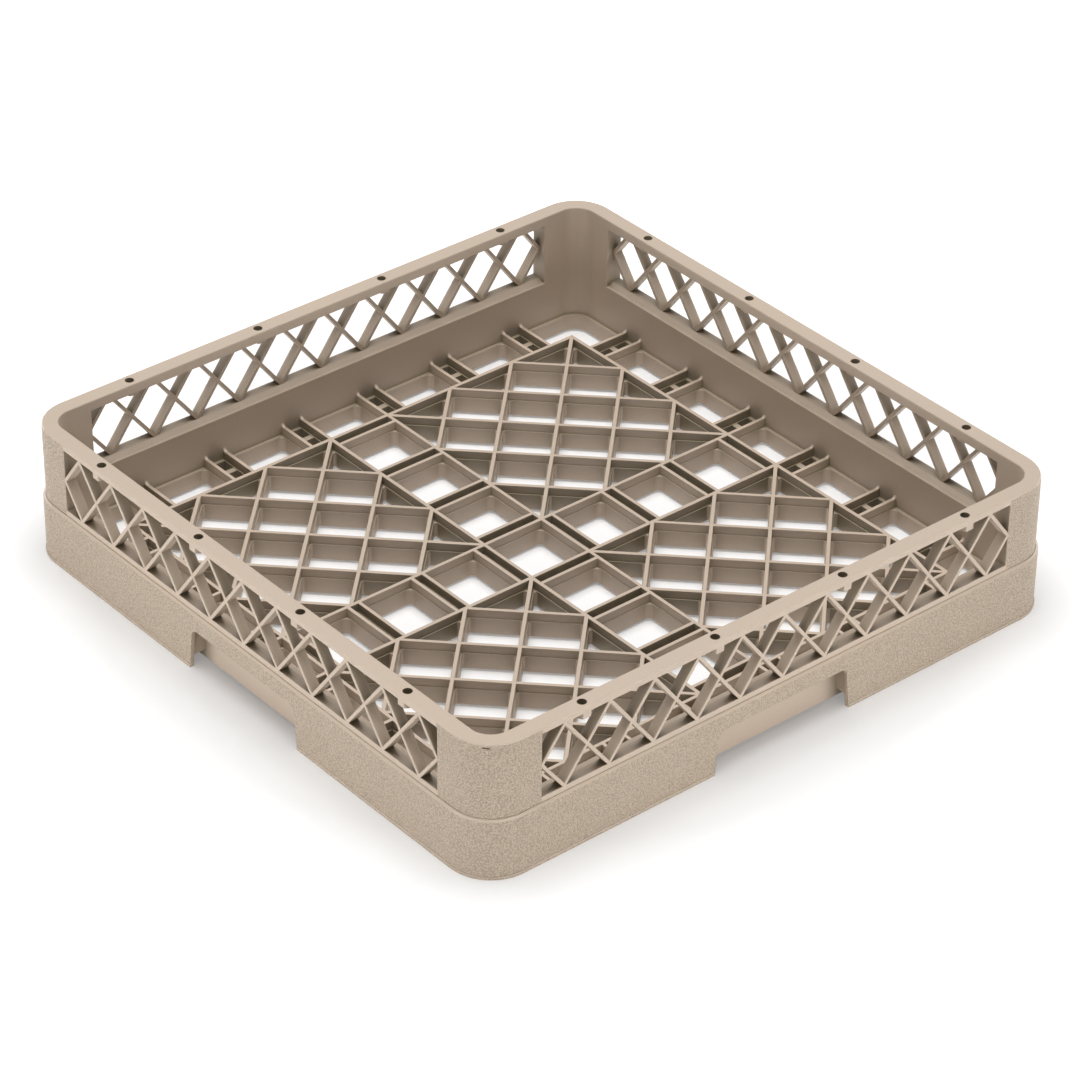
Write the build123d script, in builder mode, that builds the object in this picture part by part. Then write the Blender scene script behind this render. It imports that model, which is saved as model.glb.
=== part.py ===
"""Open dishwasher rack of the 20 inch class, injection moulded in one piece.

Sizes are in millimetres. The origin is the middle of the underside and +Z is up.
The four walls are alike, so each wall feature is drawn once and placed four times.
"""
import os
from math import atan2, degrees, hypot, radians, sqrt, tan

from build123d import *

# Overall sizes
base_width = 502.0
height = 103.2
wall = 3.0
corner_radius = 30.0

# Skirt, with the bead along its foot and the step below the upper band
skirt_height = 46.5
skirt_proud = 2.0
step_bevel = 1.5
bead_proud = 0.6
bead_height = 2.4

# Rim and inside
rim_width = 12.7
rim_edge_depth = 4.3
rim_lip_depth = 7.4
rim_bevel = 0.8
inner_corner_radius = 15.0
cavity_draft = 1.2

# Lattice windows in the upper band
lattice_pitch = 36.75
lattice_rib = 2.5
lattice_depth = 7.8
post_length = 44.0
sill_rise = 4.0
shelf_drop = 2.4
shelf_width = 2.2

# Peg holes along the rim, over every third window
peg_hole_diameter = 6.5
peg_hole_depth = 8.0
peg_boss_width = 11.0
peg_boss_depth = 9.5
peg_boss_sides = 6
pegs_per_side = 4
windows_per_peg = 3

# Notch in the middle of each side of the skirt, closed by webs at both ends
notch_width = 117.4
notch_height = 33.0
notch_side_angle = 5.2
notch_corner_radius = 6.0
web_foot = 9.0

# Slit under the rim on each corner post
slit_width = 4.5
slit_height = 1.5
slit_depth = 0.8
slit_drop = 2.4

# Floor ribs: thin above a ledge, thicker below it
floor_top = 20.6
floor_ledge = 14.0
floor_foot = 2.0
rib_top_thickness = 2.9
rib_foot_thickness = 4.5
wall_ledge = 2.8

# Floor plan: two crossing bands of squares, a border of squares and slots, and diagonal quarters
band_half = 25.5
band_slot = 9.45
band_square = 45.1
border_least = 30.0
border_slot = 16.6
border_square = 51.4
tie_inset = 16.0

# Worked out from the sizes above
base_half = base_width / 2
skirt_half = base_half - bead_proud
upper_half = skirt_half - skirt_proud
inner_half = upper_half - rim_width
sill_height = skirt_height + sill_rise
shelf_height = sill_height - shelf_drop
window_top = height - rim_edge_depth
lip_height = height - rim_lip_depth
lattice_inner = upper_half - lattice_depth
lattice_count = int(2 * (upper_half - post_length) / lattice_pitch)
window_half = lattice_count * lattice_pitch / 2
pocket_roof = shelf_height - wall
peg_line = (upper_half + inner_half) / 2
peg_spacing = windows_per_peg * lattice_pitch


def cavity_half(level):
    """Half width of the inside at a level above the underside."""
    return inner_half - (height - rim_bevel - level) * tan(radians(cavity_draft))


floor_half = cavity_half(floor_top)
band_cells = int((floor_half - border_least - band_half - band_slot) / (band_slot + band_square))
ring_half = band_half + band_cells * (band_slot + band_square) + band_slot
cell_step = (ring_half - band_half) / (2 * band_cells)
inner_wall_half = cavity_half(pocket_roof) + wall

outward = [Vector(0, -1, 0).rotate(Axis.Z, 90 * side) for side in range(4)]
up = Vector(0, 0, 1)
face_planes = [Plane((0, 0, 0), x_dir=up.cross(out), z_dir=out) for out in outward]
section_planes = [Plane((0, 0, 0), x_dir=out, z_dir=out.cross(up)) for out in outward]


def stops(first, gaps, limit):
    """Places that follow first by the gaps taken in turn, all short of limit."""
    places = [first]
    while places[-1] + gaps[(len(places) - 1) % len(gaps)] < limit:
        places.append(places[-1] + gaps[(len(places) - 1) % len(gaps)])
    return places


band_stops = stops(band_half, (band_slot, band_square), ring_half - band_slot / 2)[1:]
border_stops = stops(band_half, (border_slot, border_square), ring_half - border_slot)
border_slots = [(near + far) / 2 for near, far in zip(border_stops[::2], border_stops[1::2])]


def floor_ribs(thickness):
    """Draw the plan of the floor ribs, all of one thickness, in the open sketch."""
    with PolarLocations(ring_half, 4):
        Rectangle(thickness, 2 * ring_half + thickness)
    with PolarLocations(band_half, 4):
        Rectangle(thickness, 2 * ring_half)
    for place in band_stops:
        with PolarLocations(place, 4):
            Rectangle(thickness, 2 * band_half)
    border_end = floor_half + wall / 2
    border_middle = (ring_half + border_end) / 2
    for place in border_stops:
        with PolarLocations(0, 4):
            with Locations((border_middle, -place), (border_middle, place)):
                Rectangle(border_end - ring_half, thickness)
    quarter_middle = (band_half + ring_half) / 2
    for row in range(1 - band_cells, band_cells):
        run = 2 * sqrt(2) * cell_step * (band_cells - abs(row))
        with PolarLocations(0, 4):
            with Locations(Location((quarter_middle, quarter_middle), 45)):
                with PolarLocations(0, 2, angular_range=180):
                    with Locations((0, row * cell_step * sqrt(2))):
                        Rectangle(run, thickness)


with BuildPart() as rack:
    # Upper band, skirt and bead
    with BuildSketch():
        RectangleRounded(2 * upper_half, 2 * upper_half, corner_radius)
    extrude(amount=height)
    chamfer(rack.edges().group_by(Axis.Z)[-1], rim_bevel)
    with BuildSketch():
        RectangleRounded(2 * skirt_half, 2 * skirt_half, corner_radius + skirt_proud)
    extrude(amount=skirt_height)
    step = rack.faces().filter_by(Axis.Z).sort_by(Axis.Z)[1]
    chamfer(step.outer_wire().edges(), step_bevel)
    with BuildSketch():
        RectangleRounded(base_width, base_width, corner_radius + skirt_proud + bead_proud)
    extrude(amount=bead_height)

    # Inside, narrowing down from the foot of the rim's inner bevel
    with BuildSketch(Plane.XY.offset(height - rim_bevel)) as mouth:
        RectangleRounded(2 * inner_half, 2 * inner_half, inner_corner_radius)
    with BuildSketch() as base:
        RectangleRounded(2 * cavity_half(0), 2 * cavity_half(0), inner_corner_radius)
    loft([base.sketch, mouth.sketch], ruled=True, mode=Mode.SUBTRACT)
    extrude(mouth.sketch, amount=rim_bevel, taper=-45, mode=Mode.SUBTRACT)

    # Pocket between skirt and inner wall, open below, and its deeper ends inside the corner posts
    with BuildSketch():
        RectangleRounded(2 * (skirt_half - wall), 2 * (skirt_half - wall), corner_radius + skirt_proud - wall)
        RectangleRounded(2 * inner_wall_half, 2 * inner_wall_half, inner_corner_radius + wall, mode=Mode.SUBTRACT)
    extrude(amount=pocket_roof, mode=Mode.SUBTRACT)
    with BuildSketch():
        RectangleRounded(2 * (upper_half - wall), 2 * (upper_half - wall), corner_radius - wall)
        RectangleRounded(2 * inner_wall_half, 2 * inner_wall_half, inner_corner_radius + wall, mode=Mode.SUBTRACT)
        Rectangle(2 * (window_half + wall), base_width, mode=Mode.SUBTRACT)
        Rectangle(base_width, 2 * (window_half + wall), mode=Mode.SUBTRACT)
    extrude(amount=lip_height, mode=Mode.SUBTRACT)
    with BuildSketch():
        RectangleRounded(2 * inner_wall_half, 2 * inner_wall_half, inner_corner_radius + wall)
    extrude(amount=floor_foot, mode=Mode.SUBTRACT)

    # Webs and notches
    web_depth = skirt_half - inner_wall_half
    web_middle = (skirt_half + inner_wall_half - wall) / 2
    web_offset = notch_width / 2 + wall / 2
    with PolarLocations(0, 4):
        with Locations((-web_offset, -web_middle, web_foot), (web_offset, -web_middle, web_foot)):
            Box(wall, web_depth, pocket_roof - web_foot, align=(Align.CENTER, Align.CENTER, Align.MIN))
    notch_lean = notch_height * tan(radians(notch_side_angle))
    with BuildSketch(*[plane.offset(skirt_half - wall - bead_proud) for plane in face_planes]):
        with BuildLine():
            Polyline((-notch_width / 2, 0), (notch_lean - notch_width / 2, notch_height),
                     (notch_width / 2 - notch_lean, notch_height), (notch_width / 2, 0), close=True)
        notch = make_face()
        fillet(notch.vertices().group_by(Axis.Y)[-1], notch_corner_radius)
    extrude(amount=2 * wall, mode=Mode.SUBTRACT)

    # Window of each wall, cut with the shelf and the lip on its inner side, then its crossed ribs
    with BuildSketch(*section_planes):
        with BuildLine():
            Polyline((base_half, sill_height), (lattice_inner, sill_height),
                     (inner_half + shelf_width, shelf_height), (floor_half, shelf_height),
                     (floor_half, lip_height), (lattice_inner, lip_height),
                     (lattice_inner, window_top), (base_half, window_top), close=True)
        make_face()
    extrude(amount=window_half, both=True, mode=Mode.SUBTRACT)
    window_height = window_top - sill_height
    rib_run = hypot(lattice_pitch, window_height)
    rib_lean = degrees(atan2(window_height, lattice_pitch))
    with BuildSketch(*[plane.offset(lattice_inner) for plane in face_planes]):
        with Locations((0, (sill_height + window_top) / 2)):
            with GridLocations(lattice_pitch, 0, lattice_count + 1, 1):
                Rectangle(rib_run + lattice_rib, lattice_rib, rotation=rib_lean)
                Rectangle(rib_run + lattice_rib, lattice_rib, rotation=-rib_lean)
            Rectangle(2 * window_half + wall, window_height + wall, mode=Mode.INTERSECT)
    extrude(amount=lattice_depth)

    # Peg bosses, six sided below the rim, and blind peg holes
    with BuildSketch(Plane.XY.offset(height - peg_boss_depth)):
        with PolarLocations(0, 4):
            with Locations((0, -peg_line)):
                with GridLocations(peg_spacing, 0, pegs_per_side, 1):
                    RegularPolygon(peg_boss_width / 2, peg_boss_sides, major_radius=False)
    extrude(amount=peg_boss_depth - rim_bevel)
    with PolarLocations(0, 4):
        with Locations((0, -peg_line, height)):
            with GridLocations(peg_spacing, 0, pegs_per_side, 1):
                Hole(peg_hole_diameter / 2, peg_hole_depth)

    # Slits on the corner posts
    post_reach = sqrt(2) * (upper_half - corner_radius) + corner_radius
    with PolarLocations(post_reach, 4, start_angle=45):
        with Locations((0, 0, height - slit_drop)):
            Box(2 * slit_depth, slit_width, slit_height, mode=Mode.SUBTRACT)

    # Floor, the thick feet first
    with BuildSketch(Plane.XY.offset(floor_foot)):
        RectangleRounded(2 * floor_half + wall, 2 * floor_half + wall, inner_corner_radius)
        RectangleRounded(2 * (floor_half - wall_ledge), 2 * (floor_half - wall_ledge),
                         inner_corner_radius - wall_ledge, mode=Mode.SUBTRACT)
        floor_ribs(rib_foot_thickness)
        for place in border_slots:
            with PolarLocations(0, 4):
                with Locations((floor_half - tie_inset, -place), (floor_half - tie_inset, place)):
                    Rectangle(rib_foot_thickness, border_slot)
    extrude(amount=floor_ledge - floor_foot)
    with BuildSketch(Plane.XY.offset(floor_ledge)):
        floor_ribs(rib_top_thickness)
    extrude(amount=floor_top - floor_ledge)

rack.part.label = "rack"
os.makedirs("parts", exist_ok=True)
export_step(rack.part, "parts/rack.step")
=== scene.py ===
"""Studio scene of the open dishwasher rack: moulded beige plastic on a white table."""
from math import hypot, radians

import bmesh
import bpy
from mathutils import Matrix, Vector


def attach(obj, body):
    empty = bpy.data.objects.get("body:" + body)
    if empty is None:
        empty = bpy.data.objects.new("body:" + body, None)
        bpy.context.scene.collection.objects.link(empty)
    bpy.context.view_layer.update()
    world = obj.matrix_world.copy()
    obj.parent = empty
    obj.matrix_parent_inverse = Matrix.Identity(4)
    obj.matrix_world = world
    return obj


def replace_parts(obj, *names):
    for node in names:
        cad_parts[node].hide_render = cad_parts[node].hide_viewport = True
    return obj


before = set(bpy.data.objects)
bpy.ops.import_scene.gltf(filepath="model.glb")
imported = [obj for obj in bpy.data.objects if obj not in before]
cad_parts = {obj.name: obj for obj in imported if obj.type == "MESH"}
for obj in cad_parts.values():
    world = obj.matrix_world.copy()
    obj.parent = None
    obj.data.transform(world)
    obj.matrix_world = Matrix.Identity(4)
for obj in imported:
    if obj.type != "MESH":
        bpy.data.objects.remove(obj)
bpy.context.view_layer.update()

# Rack sizes in metres, as the solid has them
SIDES = 4
CORNER_RADIUS = 0.030
SKIRT_HEIGHT = 0.0465
WALL = 0.003
BAND_HALF = 0.2484
LATTICE_INSIDE = 0.2406
POST_INSIDE = 0.2022
RIM_FOOT = 0.1024

# Floor of the rack: levels, ribs and the places where they stand
FLOOR_FOOT = 0.002
FLOOR_LEDGE = 0.014
FLOOR_TOP = 0.0206
FLOOR_HALF = 0.23399
RIB_TOP = 0.0029
RIB_FOOT = 0.0045
BAND_RIB = 0.0255
BAND_SLOT = 0.00945
BAND_SQUARE = 0.0451
BAND_CELLS = 3
BORDER_SLOT = 0.0166
BORDER_SQUARE = 0.0514
BORDER_PAIRS = 3

# Small forms of the floor: slot ties, coves of the rib ends and rounded corners of the openings
SLOT_TIES = 3
TIE_THICKNESS = 0.0025
STUB_ROOT = 0.0025
SINK = 0.0003
SQUARE_ROUND = 0.004
DIAMOND_ROUND = 0.0015
ROUND_STEPS = 4

# How faces and edges of the solid are told apart
WELD_DISTANCE = 0.00001
FLAT_ANGLE = radians(0.3)
LEVEL_TOLERANCE = 0.0002
SKIN_TOLERANCE = 0.0004
GRAIN_LEAN = 0.3
STRAIGHT = 0.99
CORNER_ANGLE = radians(80)
SQUARE_LEAST = 0.025

# Softening of the moulded edges
CRISP_ANGLE = radians(50)
SMOOTH_ANGLE = radians(20)
EDGE_SOFTNESS = 0.0005
EDGE_LEAST = 0.002
EDGE_STEPS = 2

# Plastic, as linear colours, each drifting to a warmer one
BEIGE = ((0.59, 0.485, 0.39, 1), (0.61, 0.49, 0.38, 1))
ETCHED_BEIGE = ((0.70, 0.570, 0.445, 1), (0.72, 0.573, 0.431, 1))
PLASTIC_IOR = 1.49
CLOUD_SCALE = 14.0
CLOUD_DETAIL = 4.0
CLOUD_ROUGHNESS = 0.55
PEBBLE_SMOOTHNESS = 0.5
# Span of pebble distance over which painted shade darkens the grain's valleys
VALLEY_SPAN = (0.10, 0.65)
DUST_DETAIL = 3.0
DUST_ROUGHNESS = 0.6
DUST_SHARE = 0.5
# Painted shade: in recesses an ambient occlusion mask multiplies the base colour towards this dark colour
RECESS_PAINTED_SHADE = (0.45, 0.46, 0.40, 1)
RECESS_REACH = 0.03
RECESS_AIR = (0.25, 0.85)
RECESS_SAMPLES = 8

# Table and light
WHITE = (1, 1, 1, 1)
TABLE_SIZE = 14.0
TABLE_WHITE = (0.72, 0.72, 0.72, 1)
TABLE_ROUGHNESS = 0.9
TABLE_GLOW = 0.25
TABLE_FAR_GLOW = 1.0
TABLE_FADE = (0.30, 0.65)
LAMP_SIZE = 1.5
LAMP_HEIGHT = 2.0
LAMP_PLACE = (-0.05, 0.0)
LAMP_POWER = 43.0
CARD_LENGTH = 0.9
CARD_RISE = 0.05
CARD_AWAY = 0.70
CARD_POWER = 1.95
AIR_LIGHT = 0.02

# Camera, fitted to the rim holes, the skirt and the floor ribs of the photograph
CAMERA_EYE = Vector((-1.55326, -1.85163, 1.65561))
CAMERA_RIGHT = Vector((0.76913, -0.63904, 0.00837))
CAMERA_UP = Vector((0.35183, 0.43431, 0.82921))
CAMERA_LENS = 141.81
CAMERA_SENSOR = 36.0

# Kinds of socket on the shader node groups
PLACE = "NodeSocketVector"
COLOUR = "NodeSocketColor"
VALUE = "NodeSocketFloat"


def new_group(name, inputs, outputs):
    """Make an empty shader node group with its named sockets."""
    group = bpy.data.node_groups.new(name, "ShaderNodeTree")
    for label, kind in inputs:
        group.interface.new_socket(label, in_out="INPUT", socket_type=kind)
    for label, kind in outputs:
        group.interface.new_socket(label, in_out="OUTPUT", socket_type=kind)
    entry = group.nodes.new("NodeGroupInput")
    leave = group.nodes.new("NodeGroupOutput")
    return group, entry, leave


def noise(tree, place, scale_from, detail, roughness):
    """Add a noise texture that reads a place socket and a scale socket."""
    node = tree.nodes.new("ShaderNodeTexNoise")
    node.inputs["Detail"].default_value = detail
    node.inputs["Roughness"].default_value = roughness
    tree.links.new(place, node.inputs["Vector"])
    tree.links.new(scale_from, node.inputs["Scale"])
    return node


def spread(tree, value, low, high, span=(0.0, 1.0)):
    """Map a value from a span onto the range from low to high, clamped."""
    node = tree.nodes.new("ShaderNodeMapRange")
    node.inputs["From Min"].default_value, node.inputs["From Max"].default_value = span
    node.inputs["To Min"].default_value = low
    node.inputs["To Max"].default_value = high
    tree.links.new(value, node.inputs["Value"])
    return node


def moulded_tone_group():
    """Slow drift of the moulding's colour and sheen from place to place."""
    group, entry, leave = new_group(
        "moulded_tone",
        [("Place", PLACE), ("Colour", COLOUR), ("Warm", COLOUR),
         ("Cloud Scale", VALUE), ("Sheen Low", VALUE), ("Sheen High", VALUE)],
        [("Colour", COLOUR), ("Roughness", VALUE)])
    clouds = noise(group, entry.outputs["Place"], entry.outputs["Cloud Scale"], CLOUD_DETAIL, CLOUD_ROUGHNESS)
    mix = group.nodes.new("ShaderNodeMix")
    mix.data_type = "RGBA"
    group.links.new(clouds.outputs["Fac"], mix.inputs["Factor"])
    group.links.new(entry.outputs["Colour"], mix.inputs["A"])
    group.links.new(entry.outputs["Warm"], mix.inputs["B"])
    sheen = group.nodes.new("ShaderNodeMapRange")
    group.links.new(clouds.outputs["Fac"], sheen.inputs["Value"])
    group.links.new(entry.outputs["Sheen Low"], sheen.inputs["To Min"])
    group.links.new(entry.outputs["Sheen High"], sheen.inputs["To Max"])
    group.links.new(mix.outputs["Result"], leave.inputs["Colour"])
    group.links.new(sheen.outputs["Result"], leave.inputs["Roughness"])
    return group


def mould_grain_group():
    """Pebbled skin that an etched mould leaves: small rounded islands with fine valleys between."""
    group, entry, leave = new_group(
        "mould_grain",
        [("Place", PLACE), ("Pebble Scale", VALUE), ("Dust Scale", VALUE)],
        [("Height", VALUE), ("Valley", VALUE)])
    pebbles = group.nodes.new("ShaderNodeTexVoronoi")
    pebbles.feature = "SMOOTH_F1"
    pebbles.inputs["Smoothness"].default_value = PEBBLE_SMOOTHNESS
    group.links.new(entry.outputs["Place"], pebbles.inputs["Vector"])
    group.links.new(entry.outputs["Pebble Scale"], pebbles.inputs["Scale"])
    dust = noise(group, entry.outputs["Place"], entry.outputs["Dust Scale"], DUST_DETAIL, DUST_ROUGHNESS)
    island = spread(group, pebbles.outputs["Distance"], 1.0, 0.0)
    valley = spread(group, pebbles.outputs["Distance"], 0.0, 1.0, VALLEY_SPAN)
    height = group.nodes.new("ShaderNodeMath")
    height.operation = "MULTIPLY_ADD"
    height.inputs[1].default_value = DUST_SHARE
    group.links.new(dust.outputs["Fac"], height.inputs[0])
    group.links.new(island.outputs["Result"], height.inputs[2])
    group.links.new(height.outputs["Value"], leave.inputs["Height"])
    group.links.new(valley.outputs["Result"], leave.inputs["Valley"])
    return group


def painted_recess_shade_group():
    """Mask of the recesses, where walls close by shut out the open air; it drives painted shade in the base
    colour.
    """
    group, entry, leave = new_group("recess", [("Reach", VALUE)], [("Recess", VALUE)])
    air = group.nodes.new("ShaderNodeAmbientOcclusion")
    air.only_local = True
    air.samples = RECESS_SAMPLES
    group.links.new(entry.outputs["Reach"], air.inputs["Distance"])
    mask = spread(group, air.outputs["AO"], 1.0, 0.0, RECESS_AIR)
    group.links.new(mask.outputs["Result"], leave.inputs["Recess"])
    return group


def placed_group(tree, group, **values):
    """Place a node group in a material and set its inputs, named with underscores for blanks."""
    node = tree.nodes.new("ShaderNodeGroup")
    node.node_tree = group
    for label, value in values.items():
        node.inputs[label.replace("_", " ")].default_value = value
    return node


def darkened(tree, colour, factor, shade):
    """Multiply a colour by a shade where a factor says so."""
    mix = tree.nodes.new("ShaderNodeMix")
    mix.data_type = "RGBA"
    mix.blend_type = "MULTIPLY"
    mix.inputs["B"].default_value = shade
    tree.links.new(factor, mix.inputs["Factor"])
    tree.links.new(colour, mix.inputs["A"])
    return mix.outputs["Result"]


def plastic(name, groups, colour, sheen, pebble_scale, dust_scale, bump_depth, valley_shade):
    """Moulded beige plastic with a given sheen range, a given depth of grain and a given painted shade in its
    valleys, and painted shade in its recesses.
    """
    material = bpy.data.materials.new(name)
    material.use_nodes = True
    tree = material.node_tree
    shader = tree.nodes["Principled BSDF"]
    shader.inputs["IOR"].default_value = PLASTIC_IOR
    tone_group, grain_group, recesses = groups
    tone = placed_group(tree, tone_group, Colour=colour[0], Warm=colour[1], Cloud_Scale=CLOUD_SCALE,
                        Sheen_Low=sheen[0], Sheen_High=sheen[1])
    grain = placed_group(tree, grain_group, Pebble_Scale=pebble_scale, Dust_Scale=dust_scale)
    recess = placed_group(tree, recesses, Reach=RECESS_REACH)
    bump = tree.nodes.new("ShaderNodeBump")
    bump.inputs["Distance"].default_value = bump_depth
    place = tree.nodes.new("ShaderNodeTexCoord").outputs["Object"]
    tree.links.new(place, tone.inputs["Place"])
    tree.links.new(place, grain.inputs["Place"])
    # Painted shade: the base colour is darkened in the grain's valleys, as small shadows between the pebbles
    valley_tone = (valley_shade, valley_shade, valley_shade, 1)
    valley_shaded = darkened(tree, tone.outputs["Colour"], grain.outputs["Valley"], valley_tone)
    # Painted shade: the base colour darkens where walls close by make a recess
    recess_shaded = darkened(tree, valley_shaded, recess.outputs["Recess"], RECESS_PAINTED_SHADE)
    tree.links.new(recess_shaded, shader.inputs["Base Color"])
    tree.links.new(tone.outputs["Roughness"], shader.inputs["Roughness"])
    tree.links.new(grain.outputs["Height"], bump.inputs["Height"])
    tree.links.new(bump.outputs["Normal"], shader.inputs["Normal"])
    return material


def quarter_turn(side):
    """Turn about the rack's upright middle line, by whole sides."""
    return Matrix.Rotation(radians(360 / SIDES * side), 4, "Z")


def wall_reach(place):
    """Half width of the rounded square, with the rack's corner, that passes through a place."""
    across, along = sorted((abs(place.x), abs(place.y)))
    corner = BAND_HALF - CORNER_RADIUS
    if across < corner:
        return along
    return corner + hypot(across - corner, along - corner)


def on_band(place):
    """Tell whether a place is on the outer skin of the upper band."""
    return abs(wall_reach(place) - BAND_HALF) < SKIN_TOLERANCE


def has_grain(face):
    """Tell whether a face is on the grained outside of the skirt or of a corner post."""
    place = face.calc_center_median()
    if abs(face.normal.z) > GRAIN_LEAN or place.x * face.normal.x + place.y * face.normal.y <= 0:
        return False
    on_skirt = place.z < SKIRT_HEIGHT and wall_reach(place) > BAND_HALF + SKIN_TOLERANCE
    past_windows = min(abs(place.x), abs(place.y)) > POST_INSIDE
    on_post = past_windows and place.z < RIM_FOOT and on_band(place)
    return on_skirt or on_post


def stands_at(vertex, level):
    """Tell whether a vertex is at a level above the table."""
    return abs(vertex.co.z - level) < LEVEL_TOLERANCE


def face_width(face):
    """Longest level distance across a face."""
    return max((one.co.xy - other.co.xy).length for one in face.verts for other in face.verts)


def is_straight(face):
    """Tell whether a face is square to the rack's sides."""
    return max(abs(face.normal.x), abs(face.normal.y)) > STRAIGHT


def opening_corners(form):
    """Find the upright inside corners of the wide floor openings below the ledge.

    The corners of the squares come first, then those of the diamonds.
    """
    squares, diamonds = [], []
    for edge in form.edges:
        low, high = sorted(edge.verts, key=lambda vertex: vertex.co.z)
        if not (stands_at(low, FLOOR_FOOT) and stands_at(high, FLOOR_LEDGE)):
            continue
        if edge.calc_face_angle_signed(0) > -CORNER_ANGLE:
            continue
        if min(face_width(face) for face in edge.link_faces) < SQUARE_LEAST:
            continue
        kind = squares if all(is_straight(face) for face in edge.link_faces) else diamonds
        kind.append(edge)
    return squares, diamonds


def round_edges(form, edges):
    """Soften the given edges of a form."""
    bmesh.ops.bevel(form, geom=edges, offset=EDGE_SOFTNESS, offset_type="OFFSET", segments=EDGE_STEPS,
                    profile=0.5, affect="EDGES", clamp_overlap=False, loop_slide=False, material=-1)


def is_cramped(edge):
    """Tell whether an edge has no room to be softened.

    Such edges are on the floor's feet, on the inner side of the lattice, or short.
    """
    spans = [max(abs(vertex.co.x), abs(vertex.co.y)) for vertex in edge.verts]
    heights = [vertex.co.z for vertex in edge.verts]
    on_feet = max(spans) < FLOOR_HALF + WALL and max(heights) < FLOOR_LEDGE + LEVEL_TOLERANCE
    inside = all(abs(span - LATTICE_INSIDE) < LEVEL_TOLERANCE for span in spans)
    in_lattice = inside and min(heights) > SKIRT_HEIGHT
    return on_feet or in_lattice or edge.calc_length() < EDGE_LEAST


def outward_edges(form):
    """Find the crisp outward edges that have room to be softened."""
    return [edge for edge in form.edges
            if edge.calc_face_angle_signed(0) > CRISP_ANGLE and not is_cramped(edge)]


def part_posts(form):
    """Cut the outer faces of the upper band along the sides of the corner posts."""
    for across in (Vector((1, 0, 0)), Vector((0, 1, 0))):
        for side in (-POST_INSIDE, POST_INSIDE):
            band = [face for face in form.faces if on_band(face.calc_center_median())]
            edges = list(dict.fromkeys(edge for face in band for edge in face.edges))
            vertices = list(dict.fromkeys(vertex for face in band for vertex in face.verts))
            bmesh.ops.bisect_plane(form, geom=band + edges + vertices, dist=WELD_DISTANCE,
                                   plane_co=across * side, plane_no=across)


def rack_copy():
    """Copy the solid's mesh with its doubles merged and its flat faces whole."""
    form = bmesh.new()
    form.from_mesh(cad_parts["rack"].data)
    bmesh.ops.remove_doubles(form, verts=form.verts, dist=WELD_DISTANCE)
    bmesh.ops.dissolve_limit(form, angle_limit=FLAT_ANGLE, verts=form.verts, edges=form.edges)
    return form


def finished_piece(name, form, materials):
    """Make a form a piece of the rack."""
    for face in form.faces:
        face.smooth = True
    mesh = bpy.data.meshes.new(name)
    form.to_mesh(mesh)
    form.free()
    for material in materials:
        mesh.materials.append(material)
    mesh.set_sharp_from_angle(angle=SMOOTH_ANGLE)
    piece = bpy.data.objects.new(name, mesh)
    bpy.context.scene.collection.objects.link(piece)
    shading = piece.modifiers.new("flat_faces_stay_flat", "WEIGHTED_NORMAL")
    shading.keep_sharp = True
    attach(piece, "root")
    return piece


def moulded_rack(smooth, grained):
    """The rack itself, with its outward edges softened and its skins given their finishes."""
    form = rack_copy()
    round_edges(form, outward_edges(form))
    part_posts(form)
    for face in form.faces:
        face.material_index = int(has_grain(face))
    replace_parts(finished_piece("moulded_rack", form, (smooth, grained)), "rack")


def filled_and_raised(form, rise):
    """Fill the closed outlines of a form and raise them to solids."""
    bmesh.ops.edgenet_fill(form, edges=form.edges[:])
    flat = bmesh.ops.extrude_face_region(form, geom=form.faces[:])
    raised = [part for part in flat["geom"] if isinstance(part, bmesh.types.BMVert)]
    bmesh.ops.translate(form, verts=raised, vec=rise)
    bmesh.ops.recalc_face_normals(form, faces=form.faces)


def cove_outline(form, start, hub, axis, angle, heel):
    """Draw an arc from a start point about a hub and close it by way of a heel behind it."""
    first = form.verts.new(start)
    arc = bmesh.ops.spin(form, geom=[first], cent=hub, axis=axis, angle=angle, steps=ROUND_STEPS)
    back = form.verts.new(heel)
    form.edges.new((arc["geom_last"][0], back))
    form.edges.new((back, first))


def opening_fillets(material):
    """Rounded corners of the wide openings below the ledge of the floor."""
    rack = rack_copy()
    form = bmesh.new()
    squares, diamonds = opening_corners(rack)
    lift = Vector((0, 0, SINK))
    for radius, corners in ((SQUARE_ROUND, squares), (DIAMOND_ROUND, diamonds)):
        for edge in corners:
            corner = min(edge.verts, key=lambda vertex: vertex.co.z).co + lift
            one, other = [face.normal for face in edge.link_faces]
            hub = corner + (one + other) * radius / (1 + one.dot(other))
            heel = corner - (one + other) * SINK
            cove_outline(form, hub - one * radius, hub, one.cross(other), one.angle(other), heel)
    rack.free()
    filled_and_raised(form, (0, 0, FLOOR_LEDGE - FLOOR_FOOT - 2 * SINK))
    finished_piece("opening_fillets", form, (material,))


def slot_ties(material):
    """Low cross bars that divide each slot of the two bands of squares into small openings."""
    form = bmesh.new()
    span = 2 * BAND_RIB - RIB_FOOT
    reach = BAND_SLOT - RIB_FOOT + 2 * SINK
    rise = FLOOR_LEDGE - FLOOR_FOOT - 2 * SINK
    block = Matrix.Diagonal((TIE_THICKNESS, reach, rise, 1))
    level = (FLOOR_FOOT + FLOOR_LEDGE) / 2
    for side in range(SIDES):
        for cell in range(BAND_CELLS + 1):
            away = BAND_RIB + cell * (BAND_SLOT + BAND_SQUARE) + BAND_SLOT / 2
            for tie in range(1, SLOT_TIES + 1):
                along = span * (tie / (SLOT_TIES + 1) - 0.5)
                place = quarter_turn(side) @ Matrix.Translation((along, away, level))
                bmesh.ops.create_cube(form, size=1, matrix=place @ block)
    round_edges(form, form.edges[:])
    finished_piece("slot_ties", form, (material,))


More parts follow.
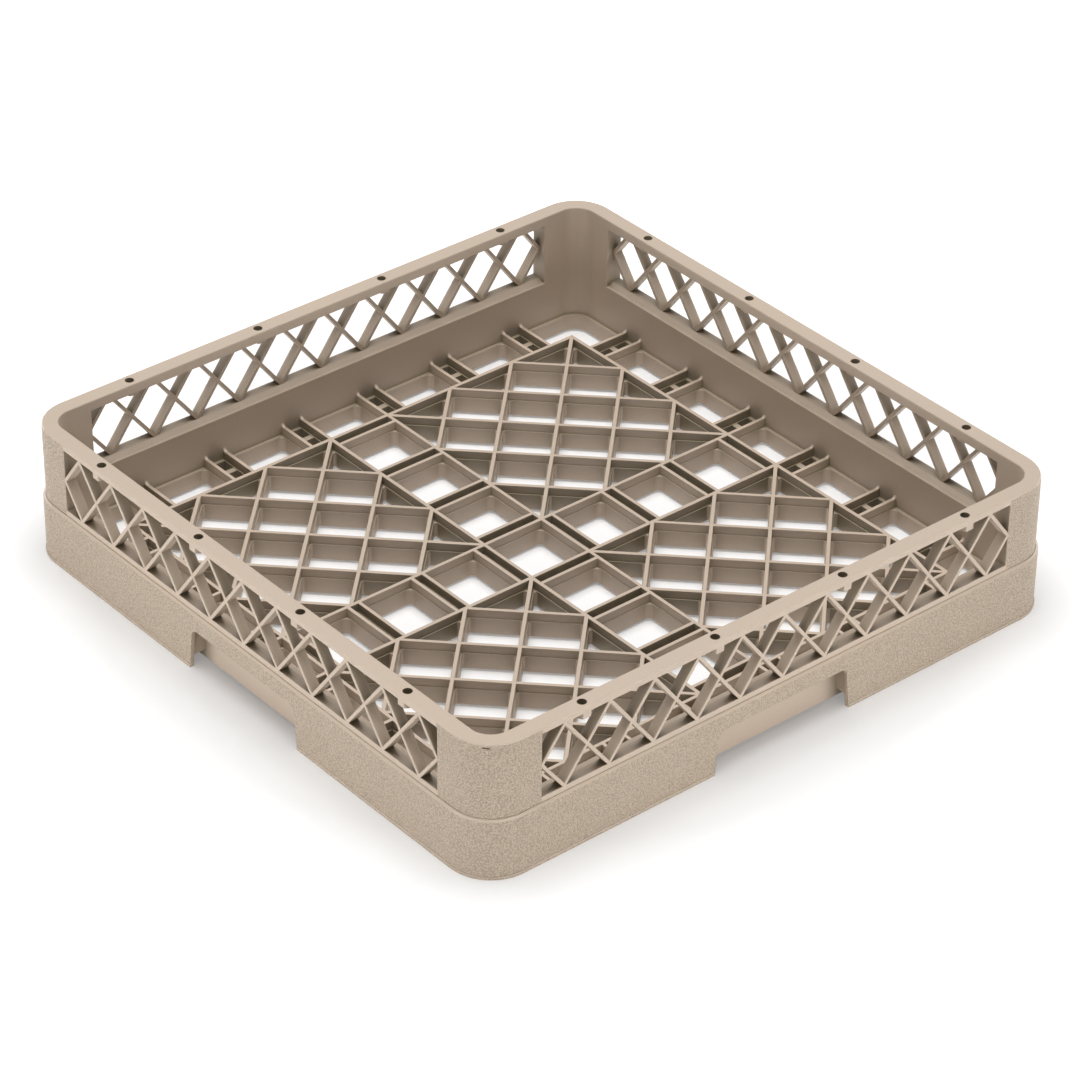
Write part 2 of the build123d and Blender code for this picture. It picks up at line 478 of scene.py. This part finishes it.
def stub_roots(material):
    """Small coves where the tops of the border ribs run up into the walls."""
    form = bmesh.new()
    thickness = RIB_TOP - 2 * SINK
    starts = [BAND_RIB + pair * (BORDER_SLOT + BORDER_SQUARE) for pair in range(BORDER_PAIRS)]
    stubs = [place + step for place in starts for step in (0, BORDER_SLOT)]
    for along in stubs + [-place for place in stubs]:
        tip = Vector((along - thickness / 2, FLOOR_HALF - STUB_ROOT, FLOOR_TOP))
        hub = tip + Vector((0, 0, STUB_ROOT))
        heel = tip + Vector((0, STUB_ROOT + SINK, -SINK))
        cove_outline(form, tip, hub, (1, 0, 0), radians(90), heel)
    filled_and_raised(form, (thickness, 0, 0))
    one_wall = form.verts[:] + form.edges[:] + form.faces[:]
    for side in range(1, SIDES):
        copy = bmesh.ops.duplicate(form, geom=one_wall)
        moved = [part for part in copy["geom"] if isinstance(part, bmesh.types.BMVert)]
        bmesh.ops.transform(form, verts=moved, matrix=quarter_turn(side))
    finished_piece("stub_roots", form, (material,))


def seen_directly(tree):
    """One for what the camera, a gloss or a clear surface sees, and nought for the light that is cast."""
    path = tree.nodes.new("ShaderNodeLightPath")
    seen = path.outputs["Is Camera Ray"]
    for other in ("Is Glossy Ray", "Is Transmission Ray"):
        either = tree.nodes.new("ShaderNodeMath")
        either.operation = "MAXIMUM"
        tree.links.new(seen, either.inputs[0])
        tree.links.new(path.outputs[other], either.inputs[1])
        seen = either.outputs["Value"]
    return seen


def table_material():
    """Pale table top that glows to the camera, more so farther out, and so fades to white."""
    material = bpy.data.materials.new("table_white")
    material.use_nodes = True
    tree = material.node_tree
    shader = tree.nodes["Principled BSDF"]
    shader.inputs["Base Color"].default_value = TABLE_WHITE
    shader.inputs["Roughness"].default_value = TABLE_ROUGHNESS
    shader.inputs["Specular IOR Level"].default_value = 0.0
    shader.inputs["Emission Color"].default_value = WHITE
    place = tree.nodes.new("ShaderNodeTexCoord").outputs["Object"]
    away = tree.nodes.new("ShaderNodeVectorMath")
    away.operation = "LENGTH"
    tree.links.new(place, away.inputs[0])
    fade = spread(tree, away.outputs["Value"], TABLE_GLOW, TABLE_FAR_GLOW, TABLE_FADE)
    glow = tree.nodes.new("ShaderNodeMath")
    glow.operation = "MULTIPLY"
    tree.links.new(fade.outputs["Result"], glow.inputs[0])
    tree.links.new(seen_directly(tree), glow.inputs[1])
    tree.links.new(glow.outputs["Value"], shader.inputs["Emission Strength"])
    return material


def white_table():
    """Flat table that the rack stands on."""
    form = bmesh.new()
    bmesh.ops.create_grid(form, x_segments=1, y_segments=1, size=TABLE_SIZE / 2)
    mesh = bpy.data.meshes.new("table")
    form.to_mesh(mesh)
    form.free()
    mesh.materials.append(table_material())
    table = bpy.data.objects.new("table", mesh)
    bpy.context.scene.collection.objects.link(table)


def area_lamp(name, size, power, frame_of_lamp):
    """Place a lamp that shines along its own minus Z and isn't seen itself."""
    lamp = bpy.data.lights.new(name, "AREA")
    lamp.shape = "RECTANGLE"
    lamp.size, lamp.size_y = size
    lamp.energy = power
    holder = bpy.data.objects.new(name, lamp)
    holder.matrix_world = frame_of_lamp
    holder.visible_camera = False
    bpy.context.scene.collection.objects.link(holder)


def soft_light():
    """A soft lamp overhead and a low bright card facing each side of the skirt."""
    overhead = Matrix.Translation((*LAMP_PLACE, LAMP_HEIGHT))
    area_lamp("overhead_softbox", (LAMP_SIZE, LAMP_SIZE), LAMP_POWER, overhead)
    stand_up = Matrix.Translation((0, -CARD_AWAY, CARD_RISE / 2)) @ Matrix.Rotation(radians(90), 4, "X")
    for side in range(SIDES):
        area_lamp(f"low_card_{side}", (CARD_LENGTH, CARD_RISE), CARD_POWER, quarter_turn(side) @ stand_up)


def white_room():
    """White surroundings that cast only a low even light."""
    world = bpy.data.worlds.new("studio")
    bpy.context.scene.world = world
    world.use_nodes = True
    tree = world.node_tree
    air = tree.nodes["Background"]
    air.inputs["Color"].default_value = WHITE
    strength = spread(tree, seen_directly(tree), AIR_LIGHT, 1.0)
    tree.links.new(strength.outputs["Result"], air.inputs["Strength"])


def photo_camera():
    """Camera at the photograph's place and angle."""
    data = bpy.data.cameras.new("photo_camera")
    data.lens = CAMERA_LENS
    data.sensor_width = CAMERA_SENSOR
    camera = bpy.data.objects.new("photo_camera", data)
    back = CAMERA_RIGHT.cross(CAMERA_UP)
    turn = Matrix((CAMERA_RIGHT, CAMERA_UP, back)).transposed()
    camera.matrix_world = Matrix.Translation(CAMERA_EYE) @ turn.to_4x4()
    bpy.context.scene.collection.objects.link(camera)
    bpy.context.scene.camera = camera


finish_groups = (moulded_tone_group(), mould_grain_group(), painted_recess_shade_group())
smooth_plastic = plastic("smooth_plastic", finish_groups, BEIGE, sheen=(0.42, 0.52), pebble_scale=900.0,
                         dust_scale=1800.0, bump_depth=0.00004, valley_shade=0.96)
grained_plastic = plastic("grained_plastic", finish_groups, ETCHED_BEIGE, sheen=(0.50, 0.62),
                          pebble_scale=860.0, dust_scale=1800.0, bump_depth=0.0010, valley_shade=0.60)
moulded_rack(smooth_plastic, grained_plastic)
opening_fillets(smooth_plastic)
slot_ties(smooth_plastic)
stub_roots(smooth_plastic)
white_table()
soft_light()
white_room()
photo_camera()
bpy.context.scene.view_settings.view_transform = "Standard"
